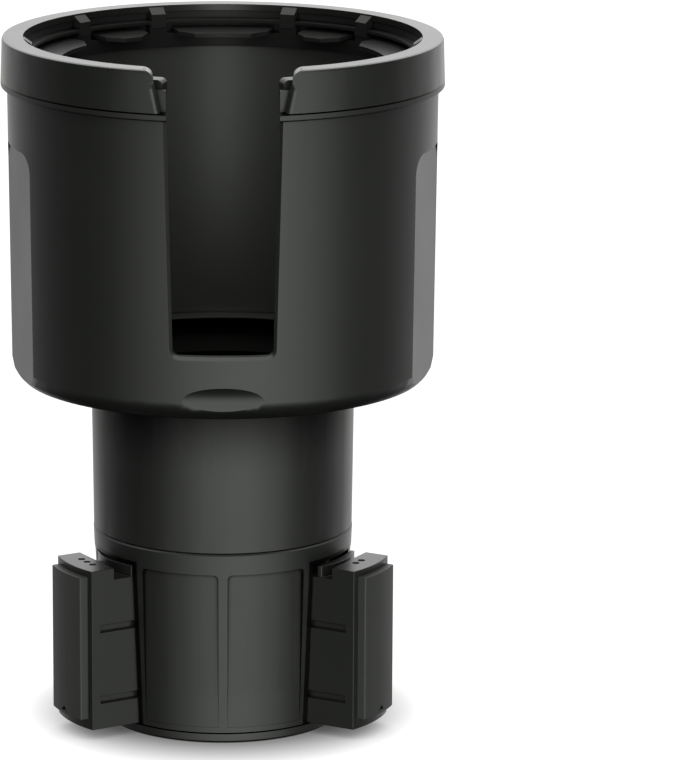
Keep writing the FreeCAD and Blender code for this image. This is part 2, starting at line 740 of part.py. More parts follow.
def make_scroll_plate():
    body = new_body("scroll_plate")
    sketch = new_sketch(body, "scroll_section", "XZ_Plane")
    outline(sketch, [
        ("hub_bore_radius", DISC_FOOT),
        ("disc_radius", DISC_FOOT),
        ("disc_radius", DISC_TOP),
        ("hub_radius", DISC_TOP),
        ("hub_radius", NECK_FOOT),
        ("hub_bore_radius", NECK_FOOT),
    ])
    revolve(body, "Revolution", sketch, "scroll_turned")
    sketch = new_sketch(body, "rib_outline", "XY_Plane", rise=DISC_FOOT)
    inner, outer = make_rib(sketch)
    for near, far in ((inner[0].StartPoint, outer[0].StartPoint),
                      (inner[-1].EndPoint, outer[-1].EndPoint)):
        sketch.addGeometry(Part.LineSegment(near, far), False)
    extrude(body, "Pad", sketch, "scroll_rib", "tooth_height", reverse=True)
    for name, radius, depth in (("hub_screw_hole", "screw_radius + fit_gap", "20 * screw_recess"),
                                ("hub_screw_seat", "screw_head_radius + fit_gap", "screw_recess")):
        sketch = new_sketch(body, name + "_outline", "XY_Plane", rise=DISC_FOOT)
        circle(sketch, "0", "-hub_screw_circle", radius)
        hole = extrude(body, "Pocket", sketch, name, depth, reverse=True)
        polar(body, [hole], name + "s", HUB_SCREWS)
    return body


def make_arch(sketch, half_width, foot, top, radius):
    """A rectangle on the sketch's Y axis with its two upper corners rounded."""
    centre = half_width + " - " + radius
    right = corner_arc(sketch, centre, top + " - " + radius, radius, 0.0, 90.0)
    left = corner_arc(sketch, negative(centre), top + " - " + radius, radius, 90.0, 180.0)
    chain(sketch, (right, 2), [], (left, 1))
    chain(sketch, (left, 2), [(negative(half_width), foot), (half_width, foot)], (right, 1))


def make_cup_shell():
    body = new_body("cup_shell")
    spigot_top = BAND_FOOT + " + spigot_height"
    floor_top = NECK_FOOT + " + neck_floor"
    ledge_z = BOWL_FOOT + " + ledge_height"
    sketch = new_sketch(body, "cup_section", "XZ_Plane")
    outline(sketch, [
        ("0", NECK_FOOT),
        ("neck_foot_radius", NECK_FOOT),
        ("neck_top_radius", NECK_TOP),
    ] + rounded("bowl_foot_radius", BOWL_FOOT, "bottom_round", 3, "-", "+") + [
        ("bowl_top_radius", BOWL_TOP),
        ("rim_radius", SHOULDER_TOP),
        ("rim_radius", BAND_FOOT),
        ("spigot_radius", BAND_FOOT),
        ("spigot_radius", spigot_top),
        ("spigot_bore_radius", spigot_top),
        ("spigot_bore_radius", GRIP_FOOT),
        ("bowl_bore_radius", GRIP_FOOT),
        ("bowl_bore_radius", ledge_z),
        ("well_radius", ledge_z),
        ("well_radius", ledge_z + " - well_step"),
        ("neck_foot_radius - neck_wall", ledge_z + " - well_step - underside_rise"),
        ("neck_foot_radius - neck_wall", floor_top),
        ("0", floor_top),
    ])
    revolve(body, "Revolution", sketch, "cup_turned")

    # four flat grip faces, two on each side, that follow the wall's slope
    slope = math.atan2(amount("bowl_top_radius - bowl_foot_radius"), amount("bowl_height"))
    for number, azimuth in enumerate((1.0, -1.0), start=1):
        for side_name, centre in (("front", azimuth * amount("facet_centre")),
                                  ("rear", 180.0 - azimuth * amount("facet_centre"))):
            name = "grip_face_%s_%d" % (side_name, number)
            sketch = new_sketch(body, name + "_outline", "XZ_Plane")
            turn = FreeCAD.Rotation(FreeCAD.Vector(0, 1, 0), centre)
            lean = FreeCAD.Rotation(FreeCAD.Vector(1, 0, 0), math.degrees(slope))
            sketch.AttachmentOffset = FreeCAD.Placement(FreeCAD.Vector(), turn * lean)
            outward = turn.multVec(FreeCAD.Vector(0, 0, 1))
            depth = "%.9f * bowl_foot_radius - %.9f * facet_depth"
            bind(sketch, ".AttachmentOffset.Base.x", depth % (outward.x, outward.x))
            bind(sketch, ".AttachmentOffset.Base.y", BOWL_FOOT)
            bind(sketch, ".AttachmentOffset.Base.z", depth % (outward.z, outward.z))
            make_arch(sketch, "facet_half_width", "-2 * underside_rise", "facet_height", "facet_round")
            extrude(body, "Pocket", sketch, name, "0.5 * bowl_foot_radius", reverse=True)

    # slot for a mug's handle, through the wall at the front
    slot_foot = BOWL_FOOT + " + slot_sill"
    above = BAND_TOP
    sketch = new_sketch(body, "slot_outline", "XZ_Plane")
    outline(sketch, [
        ("-slot_foot_half_width", slot_foot),
        ("slot_foot_half_width", slot_foot),
        ("slot_top_half_width", BAND_FOOT),
        ("slot_top_half_width", above),
        ("-slot_top_half_width", above),
        ("-slot_top_half_width", BAND_FOOT),
    ])
    extrude(body, "Pocket", sketch, "slot", "2 * bowl_foot_radius", reverse=True)
    foot_height = amount(slot_foot)
    dress(body, "Fillet", "slot_corners", "Radius", "slot_round",
          lambda edge: len(edge.Vertexes) == 2 and all(
              abs(end.Z - foot_height) < 0.01 and end.Y < 0 for end in edge.Vertexes)
          and abs(edge.Vertexes[0].X - edge.Vertexes[1].X) < 0.01)

    dress(body, "Chamfer", "slot_edge", "Size", "slot_edge_chamfer", is_slot_edge)

    # dimple under the slot
    sketch = new_sketch(body, "dimple_outline", "YZ_Plane")
    circle(sketch, "-bowl_foot_radius - dimple_radius + dimple_depth", BOWL_FOOT + " + dimple_rise",
           "dimple_radius")
    extrude(body, "Pocket", sketch, "dimple", "bowl_foot_radius", both=True)

    sketch = new_sketch(body, "neck_boss_outline", "XY_Plane", rise=NECK_FOOT)
    circle(sketch, "0", "-hub_screw_circle", "boss_radius")
    boss = extrude(body, "Pad", sketch, "neck_boss", "hub_pilot_depth + boss_roof")
    polar(body, [boss], "neck_bosses", HUB_SCREWS)
    sketch = new_sketch(body, "neck_pilot_outline", "XY_Plane", rise=NECK_FOOT)
    circle(sketch, "0", "-hub_screw_circle", "screw_radius + 0.5 * fit_gap")
    pilot = extrude(body, "Pocket", sketch, "neck_pilot", "hub_pilot_depth", reverse=True)
    polar(body, [pilot], "neck_pilots", HUB_SCREWS)
    return body


def is_slot_edge(edge):
    """Whether an edge runs where the slot comes out through the bowl's outer wall."""
    near = 0.05
    ends = [vertex.Point for vertex in edge.Vertexes]
    foot = amount(BOWL_FOOT + " + bottom_round")
    slope = amount("bowl_top_radius - bowl_foot_radius") / amount("bowl_height - bottom_round")
    on_wall = all(abs(math.hypot(end.x, end.y) - amount("bowl_foot_radius") - slope * (end.z - foot))
                  < near for end in ends)
    in_slot = all(abs(end.x) < amount("slot_top_half_width") + near and end.y < 0.0 for end in ends)
    on_shoulder = all(abs(end.z - amount(BOWL_TOP)) < near for end in ends)
    return on_wall and in_slot and not on_shoulder and all(end.z > foot + near for end in ends)


def make_rim_band():
    body = new_body("rim_band")
    sketch = new_sketch(body, "band_section", "XZ_Plane")
    outline(sketch, [
        ("rim_radius - band_wall", BAND_FOOT),
        ("rim_radius", BAND_FOOT),
    ] + rounded("rim_top_radius", BAND_TOP, "band_round", 2, "-", "-")[::-1] + [
        ("band_lip_radius", BAND_TOP),
        ("band_lip_radius", LIP_FOOT),
        ("rim_radius - band_wall", LIP_FOOT),
    ])
    revolve(body, "Revolution", sketch, "band_turned")

    # gap over the slot, with slanted ends that are rounded at the top
    sketch = new_sketch(body, "band_gap_outline", "XZ_Plane")
    above = BAND_TOP + " + band_gap_round"
    centre = "band_gap_top + band_gap_round"
    right = corner_arc(sketch, centre, BAND_TOP + " - band_gap_round", "band_gap_round", 90.0, 180.0)
    left = corner_arc(sketch, negative(centre), BAND_TOP + " - band_gap_round", "band_gap_round",
                      0.0, 90.0)
    chain(sketch, (right, 1), [(centre, above), (negative(centre), above)], (left, 2))
    chain(sketch, (left, 1), [("-band_gap_foot", BAND_FOOT), ("band_gap_foot", BAND_FOOT)], (right, 2))
    extrude(body, "Pocket", sketch, "band_gap", "2 * rim_radius", reverse=True)
    dress(body, "Fillet", "band_ends", "Radius", "band_end_round", is_band_end)
    return body


def is_band_end(edge):
    """Whether an edge is an outer one of the rim band's two end faces."""
    ends = [vertex.Point for vertex in edge.Vertexes]
    if len(ends) < 2 or any(end.y > 0.0 or abs(end.x) > amount("band_gap_top") + 0.3 for end in ends):
        return False
    outer = amount("rim_top_radius") - 0.3
    tall = abs(ends[0].z - ends[1].z) > 0.4 * amount("band_height")
    return tall and all(math.hypot(end.x, end.y) > outer for end in ends)


def make_grip_ring():
    """Rubber ring inside the rim: a wall, posts and thin flaps that bend to hold a bottle."""
    body = new_body("grip_ring")
    end = math.degrees(math.asin(amount("slot_top_half_width + grip_end_margin") / amount("grip_radius")))
    starts = (end,) + POST_AZIMUTHS
    wall = "spigot_bore_radius - fit_gap"
    wall_middle = "0.5 * grip_radius + 0.5 * spigot_bore_radius"
    root = BAND_FOOT + " + flap_root"
    bead = root + " + window_top_gap + bead_height"
    sketch = new_sketch(body, "grip_section", "XZ_Plane", turn=end - 90.0)
    outline(sketch, [
        ("post_radius + grip_draft", GRIP_FOOT),
        (wall, GRIP_FOOT),
        (wall, LIP_FOOT),
        ("grip_radius", LIP_FOOT),
        ("grip_radius", bead),
        ("post_radius", bead),
    ])
    revolve(body, "Revolution", sketch, "grip_wall", 360.0 - 2.0 * end)
    sweep = amount("post_sweep")
    spans = [(first + sweep, second) for first, second in zip(starts, starts[1:])]
    sides = []
    for number, (start, finish) in enumerate(spans, start=1):
        sides.append(make_window(body, "window_%d" % number, start, finish))
    for number, start in enumerate(starts, start=1):
        sketch = new_sketch(body, "post_section_%d" % number, "XZ_Plane", turn=start - 90.0)
        outline(sketch, [
            (wall_middle, root),
            (wall_middle, LIP_FOOT),
            ("band_lip_radius - fit_gap", LIP_FOOT),
            ("band_lip_radius - fit_gap", LIP_FOOT + " + post_rise"),
            ("post_radius", LIP_FOOT + " - post_fall"),
            ("post_radius", root),
        ])
        sides.append(revolve(body, "Revolution", sketch, "post_%d" % number, sweep))
    for number, (start, finish) in enumerate(spans, start=1):
        sides.append(make_flap(body, "flap_%d" % number, start, finish))
    mirror(body, sides, "other_side")
    make_window(body, "rear_window", starts[-1] + sweep, 360.0 - starts[-1] - sweep)
    make_flap(body, "rear_flap", starts[-1] + sweep, 360.0 - starts[-1] - sweep)
    tip = amount("flap_tip_radius")
    dress(body, "Chamfer", "flap_corners", "Size", "flap_corner",
          lambda edge: is_upright(edge) and abs(math.hypot(edge.Vertexes[0].X, edge.Vertexes[0].Y) - tip)
          < 0.01)

    # the two ends beside the slot are lower than the rim's lip and rounded
    end_top = LIP_FOOT + " - grip_end_drop"
    half_width = "%.6f * grip_radius" % math.sin(math.radians(end + sweep + 1.0))
    sketch = new_sketch(body, "grip_end_outline", "XZ_Plane")
    outline(sketch, [
        (negative(half_width), end_top),
        (half_width, end_top),
        (half_width, BAND_TOP),
        (negative(half_width), BAND_TOP),
    ])
    extrude(body, "Pocket", sketch, "grip_end_cut", "2 * grip_radius", reverse=True)
    dress(body, "Fillet", "grip_end_edges", "Radius", "grip_end_round", is_grip_end)
    return body


def is_grip_end(edge):
    """Whether an edge is the upper one of the ring's end face beside the slot."""
    near = 0.01
    ends = [vertex.Point for vertex in edge.Vertexes]
    top = amount(LIP_FOOT + " - grip_end_drop")
    if len(ends) < 2 or any(abs(point.z - top) > near or point.y > 0.0 for point in ends):
        return False
    beside_slot = amount("slot_top_half_width + 2 * grip_end_margin")
    across = abs(math.hypot(ends[0].x, ends[0].y) - math.hypot(ends[1].x, ends[1].y))
    return across > 1.0 and all(abs(point.x) < beside_slot for point in ends)


def make_window(body, name, start, finish):
    """A window through the thick lower wall, which a flap comes out of."""
    gap = amount("window_side_gap")
    root = BAND_FOOT + " + flap_root"
    sketch = new_sketch(body, name + "_section", "XZ_Plane", turn=start + gap - 90.0)
    outline(sketch, [
        ("0.5 * grip_radius", root + " - flap_thickness - window_foot_gap"),
        ("grip_radius", root + " - flap_thickness - window_foot_gap"),
        ("grip_radius", root + " + window_top_gap"),
        ("0.5 * grip_radius", root + " + window_top_gap"),
    ])
    return revolve(body, "Groove", sketch, name, finish - start - 2.0 * gap)


def make_flap(body, name, start, finish):
    """A thin flap between two posts, from the ring's wall inwards and slightly down."""
    gap = amount("flap_side_gap")
    root = BAND_FOOT + " + flap_root"
    wall_middle = "0.5 * grip_radius + 0.5 * spigot_bore_radius"
    sketch = new_sketch(body, name + "_section", "XZ_Plane", turn=start + gap - 90.0)
    outline(sketch, [
        (wall_middle, root),
        ("flap_tip_radius", root + " - flap_fall"),
        ("flap_tip_radius", root + " - flap_fall - flap_thickness"),
        (wall_middle, root + " - flap_thickness"),
    ])
    return revolve(body, "Revolution", sketch, name, finish - start - 2.0 * gap)


def make_screw(name, circle, seat_text, turn):
    """A self-tapping screw, head down, with a cross recess for the driver."""
    body = new_body(name)
    sketch = new_sketch(body, name + "_section", "XZ_Plane")
    head_foot = seat_text + " - screw_head_height"
    outline(sketch, [
        ("0", head_foot),
        ("screw_head_radius", head_foot),
        ("screw_head_radius", seat_text),
        ("screw_radius", seat_text),
        ("screw_radius", seat_text + " + screw_length"),
        ("0", seat_text + " + screw_length"),
    ])
    revolve(body, "Revolution", sketch, name + "_turned")
    sketch = new_sketch(body, name + "_recess_outline", "XY_Plane", rise=head_foot)
    arm, leg = "driver_radius", "driver_half_width"
    quarter = [(arm, leg), (leg, leg), (leg, arm)]
    cross = quarter + [(negative(x), y) for x, y in reversed(quarter)]
    outline(sketch, cross + [(x, negative(y)) for x, y in reversed(cross)])
    extrude(body, "Pocket", sketch, name + "_recess", "driver_depth", reverse=True)
    for axis, share in (("x", math.cos(math.radians(turn))), ("y", math.sin(math.radians(turn)))):
        bind(body, ".Placement.Base." + axis, "%.9f * %s" % (share, circle))
    document.recompute()
    return body


def make_all():
    nodes = [make_base_plate(), make_base_housing(), make_scroll_plate(), make_cup_shell(),
             make_rim_band(), make_grip_ring()]
    for number, (turn, shift) in enumerate(ARMS, start=1):
        nodes.append(make_arm(number, turn, shift))
        nodes.append(make_arm_pad(number, turn))
    for number in range(len(ARMS)):
        nodes.append(make_screw("base_screw_%d" % (number + 1), "base_screw_circle",
                                "base_screw_recess", 360.0 * number / len(ARMS) - 90.0))
    for number in range(HUB_SCREWS):
        nodes.append(make_screw("hub_screw_%d" % (number + 1), "hub_screw_circle",
                                DISC_FOOT + " + screw_recess", 360.0 * number / HUB_SCREWS - 90.0))
    return nodes


sub_parts = make_all()
for item in document.Objects:
    faults = {"Invalid", "Error"} & set(item.State)
    if faults:
        raise ValueError("%s is %s" % (item.Name, ", ".join(sorted(faults))))
for item in sub_parts:
    if item.Shape.isNull() or not item.Shape.isValid() or len(item.Shape.Solids) != 1:
        raise ValueError(item.Label + " isn't one valid solid")
os.makedirs("parts", exist_ok=True)
for item in sub_parts:
    item.Shape.exportStep("parts/%s.step" % item.Label)
    print(item.Label, round(item.Shape.Volume, 1), len(item.Shape.Faces))
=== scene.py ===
import math

import bpy
from mathutils import Matrix, Vector


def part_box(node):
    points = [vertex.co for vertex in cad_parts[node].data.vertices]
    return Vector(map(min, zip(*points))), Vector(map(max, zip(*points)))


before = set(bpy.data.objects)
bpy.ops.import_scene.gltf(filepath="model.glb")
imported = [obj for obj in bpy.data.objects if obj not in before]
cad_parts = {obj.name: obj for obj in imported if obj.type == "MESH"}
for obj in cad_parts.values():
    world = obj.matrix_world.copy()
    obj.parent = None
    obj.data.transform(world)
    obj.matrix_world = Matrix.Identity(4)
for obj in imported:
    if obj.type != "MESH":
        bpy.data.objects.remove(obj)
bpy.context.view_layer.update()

# Camera in front of the slot, looking a little down on the rim
EYE = Vector((0.0, -1.2335724, 0.3806522))
PITCH = math.radians(13.3486)
YAW = math.radians(1.3933)
ROLL = math.radians(0.3244)
FOCAL_PX = 4923.4993
FRAME_HEIGHT_PX = 760.0
SENSOR_HEIGHT_MM = 36.0
SIGHT = 20.0

forward = Vector((math.sin(YAW) * math.cos(PITCH), math.cos(YAW) * math.cos(PITCH),
                  -math.sin(PITCH)))
right = Vector((math.cos(YAW), -math.sin(YAW), 0.0))
up = right.cross(forward)
right_rolled = right * math.cos(ROLL) + up * math.sin(ROLL)
up_rolled = up * math.cos(ROLL) - right * math.sin(ROLL)
turn = Matrix((right_rolled, up_rolled, -forward)).transposed()
camera_data = bpy.data.cameras.new("camera")
camera_data.sensor_fit = "VERTICAL"
camera_data.sensor_height = SENSOR_HEIGHT_MM
camera_data.lens = FOCAL_PX / FRAME_HEIGHT_PX * SENSOR_HEIGHT_MM
camera_data.clip_end = SIGHT
camera = bpy.data.objects.new("camera", camera_data)
camera.matrix_world = Matrix.Translation(EYE) @ turn.to_4x4()
bpy.context.scene.collection.objects.link(camera)
bpy.context.scene.camera = camera
bpy.context.scene.view_settings.view_transform = "Standard"


# Nodes of the materials and groups
def new_group(name, inputs, outputs):
    """A shader node group with named inputs (name, kind, value) and outputs (name, kind)."""
    group = bpy.data.node_groups.new(name, "ShaderNodeTree")
    for label, kind, value in inputs:
        socket = group.interface.new_socket(label, in_out="INPUT", socket_type=kind)
        socket.default_value = value
    for label, kind in outputs:
        group.interface.new_socket(label, in_out="OUTPUT", socket_type=kind)
    entry = group.nodes.new("NodeGroupInput")
    leave = group.nodes.new("NodeGroupOutput")
    return group, entry, leave


def add(tree, kind, **values):
    """A node of a kind, with its settings."""
    node = tree.nodes.new(kind)
    for key, value in values.items():
        setattr(node, key, value)
    return node


def feed(tree, socket, value):
    """Gives a socket a link from another socket, or a plain number, colour or direction."""
    if isinstance(value, bpy.types.NodeSocket):
        tree.links.new(value, socket)
    else:
        socket.default_value = value


def place_group(tree, group, **values):
    """One use of a shared group, with its own values."""
    node = add(tree, "ShaderNodeGroup", node_tree=group)
    for label, value in values.items():
        node.inputs[label.replace("_", " ")].default_value = value
    return node


def step_up(tree, source, start, end):
    """0 below start and 1 above end, smooth between. With start above end it falls instead."""
    step = add(tree, "ShaderNodeMapRange", interpolation_type="SMOOTHSTEP")
    step.inputs["From Min"].default_value = start
    step.inputs["From Max"].default_value = end
    tree.links.new(source, step.inputs["Value"])
    return step.outputs["Result"]


def calculate(tree, operation, *values, clamped=False):
    """A Math node on sockets and plain numbers."""
    node = add(tree, "ShaderNodeMath", operation=operation, use_clamp=clamped)
    for socket, value in zip(node.inputs, values):
        feed(tree, socket, value)
    return node.outputs["Value"]


def combine(tree, operation, first, second):
    """Two masks made into one that stays between 0 and 1."""
    return calculate(tree, operation, first, second, clamped=True)


def on_vectors(tree, operation, *values):
    """A Vector Math node, which gives a number for a length or a dot product."""
    node = add(tree, "ShaderNodeVectorMath", operation=operation)
    for socket, value in zip(node.inputs, values):
        feed(tree, socket, value)
    return node.outputs["Value" if operation in ("LENGTH", "DOT_PRODUCT") else "Vector"]


def scaled(tree, colour, factor):
    """A colour times a number."""
    node = add(tree, "ShaderNodeVectorMath", operation="SCALE")
    tree.links.new(colour, node.inputs[0])
    tree.links.new(factor, node.inputs["Scale"])
    return node.outputs["Vector"]


def either(tree, kind, first, second, mask):
    """The first colour (RGBA) or direction (VECTOR), and the second one where the mask is 1."""
    mix = add(tree, "ShaderNodeMix", data_type=kind)
    feed(tree, mix.inputs["A"], first)
    feed(tree, mix.inputs["B"], second)
    tree.links.new(mask, mix.inputs["Factor"])
    return mix.outputs["Result"]


def round_place(group):
    """A point's Y and Z on the object, its Radius from the axis and its Level direction from it."""
    place = add(group, "ShaderNodeTexCoord").outputs["Object"]
    parts = add(group, "ShaderNodeSeparateXYZ")
    group.links.new(place, parts.inputs[0])
    level = on_vectors(group, "MULTIPLY", place, (1, 1, 0))
    return {"Y": parts.outputs["Y"], "Z": parts.outputs["Z"], "Level": level,
            "Radius": on_vectors(group, "LENGTH", level)}


def outward(group, direction):
    """A direction on the object as a normal of the scene, of length 1."""
    turned = add(group, "ShaderNodeVectorTransform", vector_type="NORMAL",
                 convert_from="OBJECT", convert_to="WORLD")
    group.links.new(direction, turned.inputs[0])
    return on_vectors(group, "NORMALIZE", turned.outputs[0])


# Moulded surface: a fine spark-eroded grain, with a slow change of tone and roughness
PATCH_SCALE = 38.0
PATCH_DETAIL = 3.0
GRAIN_DETAIL = 2.0
GRAIN_HEIGHT = 0.00004


def moulded_group():
    """The colour, roughness and normal of a moulded surface."""
    group, entry, leave = new_group(
        "moulded_grain",
        [("Tone", "NodeSocketColor", (0.03, 0.03, 0.03, 1)),
         ("Tone Change", "NodeSocketFloat", 0.1),
         ("Roughness", "NodeSocketFloat", 0.45),
         ("Roughness Change", "NodeSocketFloat", 0.06),
         ("Grain Scale", "NodeSocketFloat", 2200.0),
         ("Grain Depth", "NodeSocketFloat", 0.15),
         ("Surface", "NodeSocketVector", (0, 0, 1))],
        [("Colour", "NodeSocketColor"), ("Roughness", "NodeSocketFloat"),
         ("Normal", "NodeSocketVector")])
    link = group.links.new
    place = add(group, "ShaderNodeTexCoord").outputs["Object"]
    patches = add(group, "ShaderNodeTexNoise")
    patches.inputs["Scale"].default_value = PATCH_SCALE
    patches.inputs["Detail"].default_value = PATCH_DETAIL
    grain = add(group, "ShaderNodeTexNoise")
    grain.inputs["Detail"].default_value = GRAIN_DETAIL
    link(place, patches.inputs["Vector"])
    link(place, grain.inputs["Vector"])
    link(entry.outputs["Grain Scale"], grain.inputs["Scale"])

    centred = calculate(group, "SUBTRACT", patches.outputs["Fac"], 0.5)
    tone = calculate(group, "MULTIPLY_ADD", centred, entry.outputs["Tone Change"], 1.0)
    link(scaled(group, entry.outputs["Tone"], tone), leave.inputs["Colour"])
    roughness = calculate(group, "MULTIPLY_ADD", centred, entry.outputs["Roughness Change"],
                          entry.outputs["Roughness"])
    link(roughness, leave.inputs["Roughness"])

    bump = add(group, "ShaderNodeBump")
    bump.inputs["Distance"].default_value = GRAIN_HEIGHT
    link(entry.outputs["Grain Depth"], bump.inputs["Strength"])
    link(grain.outputs["Fac"], bump.inputs["Height"])
    link(entry.outputs["Surface"], bump.inputs["Normal"])
    link(bump.outputs["Normal"], leave.inputs["Normal"])
    return group


def crevice_shade_group():
    """Painted shade: 1 in grooves and inner corners of the piece itself, where its own shade falls,
    and 0 on its open faces.
    """
    group, entry, leave = new_group("crevice_painted_shade", [("Reach", "NodeSocketFloat", 0.001),
                                                ("Open", "NodeSocketFloat", 0.80),
                                                ("Closed", "NodeSocketFloat", 0.35)],
                                    [("Crevice", "NodeSocketFloat")])
    link = group.links.new
    near = add(group, "ShaderNodeAmbientOcclusion", samples=8, only_local=True)
    link(entry.outputs["Reach"], near.inputs["Distance"])
    depth = add(group, "ShaderNodeMapRange")
    link(near.outputs["AO"], depth.inputs["Value"])
    link(entry.outputs["Open"], depth.inputs["From Min"])
    link(entry.outputs["Closed"], depth.inputs["From Max"])
    link(depth.outputs["Result"], leave.inputs["Crevice"])
    return group


# Turned walls and the dimple, which take their true round normals in the material
WALL_MARGIN = 0.00025
WALL_FACING = 0.9965
DIMPLE_AXIS_Y = -0.06015
DIMPLE_AXIS_Z = 0.0949
DIMPLE_RADIUS = 0.007
DIMPLE_MARGIN = 0.00001


def round_wall_group():
    """The true normal of a turned outer wall, and a mask of 1 on that wall."""
    group, entry, leave = new_group("round_wall", [("Foot Height", "NodeSocketFloat", 0.0),
                                                   ("Top Height", "NodeSocketFloat", 0.1),
                                                   ("Foot Radius", "NodeSocketFloat", 0.05),
                                                   ("Slope", "NodeSocketFloat", 0.0)],
                                    [("Normal", "NodeSocketVector"), ("Wall", "NodeSocketFloat")])
    place = round_place(group)
    rise = calculate(group, "SUBTRACT", place["Z"], entry.outputs["Foot Height"])
    wall = calculate(group, "MULTIPLY_ADD", rise, entry.outputs["Slope"],
                     entry.outputs["Foot Radius"])
    on_wall = calculate(group, "COMPARE", place["Radius"], wall, WALL_MARGIN)
    above = calculate(group, "GREATER_THAN", place["Z"], entry.outputs["Foot Height"])
    below = calculate(group, "LESS_THAN", place["Z"], entry.outputs["Top Height"])
    normal = outward(group, place["Level"])
    own = add(group, "ShaderNodeNewGeometry").outputs["True Normal"]
    facing = calculate(group, "GREATER_THAN", on_vectors(group, "DOT_PRODUCT", normal, own),
                       WALL_FACING)
    mask = on_wall
    for other in (above, below, facing):
        mask = combine(group, "MULTIPLY", mask, other)
    group.links.new(normal, leave.inputs["Normal"])
    group.links.new(mask, leave.inputs["Wall"])
    return group


def turned_wall(foot, top, rounding=0.0):
    """The round wall group's values for a cone between two (radius, height) points. Its mask
    ends below the rounding of the top edge."""
    slope = (top[0] - foot[0]) / (top[1] - foot[1])
    return {"Foot_Height": foot[1], "Top_Height": top[1] - rounding, "Foot_Radius": foot[0],
            "Slope": slope}


def dimple_group():
    """The true normal of the round dimple under the slot, and a mask of 1 in it."""
    group, entry, leave = new_group("dimple", [], [("Normal", "NodeSocketVector"),
                                                   ("Dimple", "NodeSocketFloat")])
    place = round_place(group)
    inward = add(group, "ShaderNodeCombineXYZ")
    group.links.new(calculate(group, "SUBTRACT", DIMPLE_AXIS_Y, place["Y"]), inward.inputs["Y"])
    group.links.new(calculate(group, "SUBTRACT", DIMPLE_AXIS_Z, place["Z"]), inward.inputs["Z"])
    reach = on_vectors(group, "LENGTH", inward.outputs[0])
    inside = calculate(group, "LESS_THAN", reach, DIMPLE_RADIUS + DIMPLE_MARGIN)
    group.links.new(outward(group, inward.outputs[0]), leave.inputs["Normal"])
    group.links.new(inside, leave.inputs["Dimple"])
    return group


# Painted shade and painted light, placed by the pieces' own sizes
PLATE_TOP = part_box("base_plate")[1][2]
HOUSING_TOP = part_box("base_housing")[1][2]
BAND_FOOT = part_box("rim_band")[0][2]
FLANGE_FOOT = 0.1655
OUTSIDE = 0.0532
JOINT_HALF_WIDTH = 0.0002
BORE_RADIUS = 0.0515
BORE_MARGIN = (0.0003, 0.0001)
LEDGE_HEIGHT = 0.0943
LEDGE_SOFTNESS = 0.0004
WELL_FLOOR = 0.0700
ARM_TURNS = [math.radians(turn) for turn in (90, 210, 330)]
ARM_HALF_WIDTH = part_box("arm_1")[1][0]
ARM_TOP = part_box("arm_1")[1][2]
WAY_STRIP = 0.0017
WAY_SOFTNESS = 0.0003
WAY_HEADROOM = 0.0013
WAY_START = 0.025
WAY_SHADE = 0.8


def joint_shade_group():
    """1 on a line at a height above the foot, outside a radius: where two mouldings meet, a dark
    joint that is partly painted shade of its gap, or under a ledge, painted shade.
    """
    group, entry, leave = new_group("joint_shade_line", [("Height", "NodeSocketFloat", 0.1),
                                                   ("Half Width", "NodeSocketFloat", 0.0002),
                                                   ("From Radius", "NodeSocketFloat", 0.0)],
                                    [("Line", "NodeSocketFloat")])
    place = round_place(group)
    line = calculate(group, "COMPARE", place["Z"], entry.outputs["Height"],
                     entry.outputs["Half Width"])
    outside = calculate(group, "GREATER_THAN", place["Radius"], entry.outputs["From Radius"])
    group.links.new(combine(group, "MULTIPLY", line, outside), leave.inputs["Line"])
    return group


def bowl_group():
    """Masks of the cup's bore, for painted light that makes it paler, and of its well, for painted
    shade that grows darker up towards the ledge.
    """
    group, entry, leave = new_group("bowl_inside", [], [("Bore", "NodeSocketFloat"),
                                                        ("Well", "NodeSocketFloat")])
    place = round_place(group)
    start, end = BORE_MARGIN
    within = step_up(group, place["Radius"], BORE_RADIUS + start, BORE_RADIUS + end)
    above = step_up(group, place["Z"], LEDGE_HEIGHT - LEDGE_SOFTNESS, LEDGE_HEIGHT)
    below = combine(group, "SUBTRACT", within, above)
    raised = step_up(group, place["Z"], WELL_FLOOR, LEDGE_HEIGHT)
    group.links.new(combine(group, "MULTIPLY", within, above), leave.inputs["Bore"])
    group.links.new(combine(group, "MULTIPLY", below, raised), leave.inputs["Well"])
    return group


def way_shade_group():
    """Painted shade: 1 in narrow strips on the housing along both sides of the arms' ways, for the
    shade of a gap beside each arm.
    """
    group, entry, leave = new_group("way_edges_painted_shade", [], [("Beside", "NodeSocketFloat")])
    place = round_place(group)
    edge = ARM_HALF_WIDTH + WAY_STRIP
    beside = 0.0
    for turn in ARM_TURNS:
        across = on_vectors(group, "DOT_PRODUCT", place["Level"],
                            (-math.sin(turn), math.cos(turn), 0))
        along = on_vectors(group, "DOT_PRODUCT", place["Level"],
                           (math.cos(turn), math.sin(turn), 0))
        apart = calculate(group, "ABSOLUTE", across)
        strip = combine(group, "MULTIPLY", step_up(group, apart, edge, edge - WAY_SOFTNESS),
                        calculate(group, "GREATER_THAN", along, WAY_START))
        beside = combine(group, "MAXIMUM", beside, strip)
    for bound, height in (("LESS_THAN", ARM_TOP + WAY_HEADROOM), ("GREATER_THAN", PLATE_TOP)):
        beside = combine(group, "MULTIPLY", beside, calculate(group, bound, place["Z"], height))
    group.links.new(beside, leave.inputs["Beside"])
    return group


GRAIN = moulded_group()
CREVICE_SHADE = crevice_shade_group()
JOINT_SHADE = joint_shade_group()
BOWL = bowl_group()
DIMPLE = dimple_group()
ROUND_WALL = round_wall_group()
WAY_STRIP_SHADE = way_shade_group()

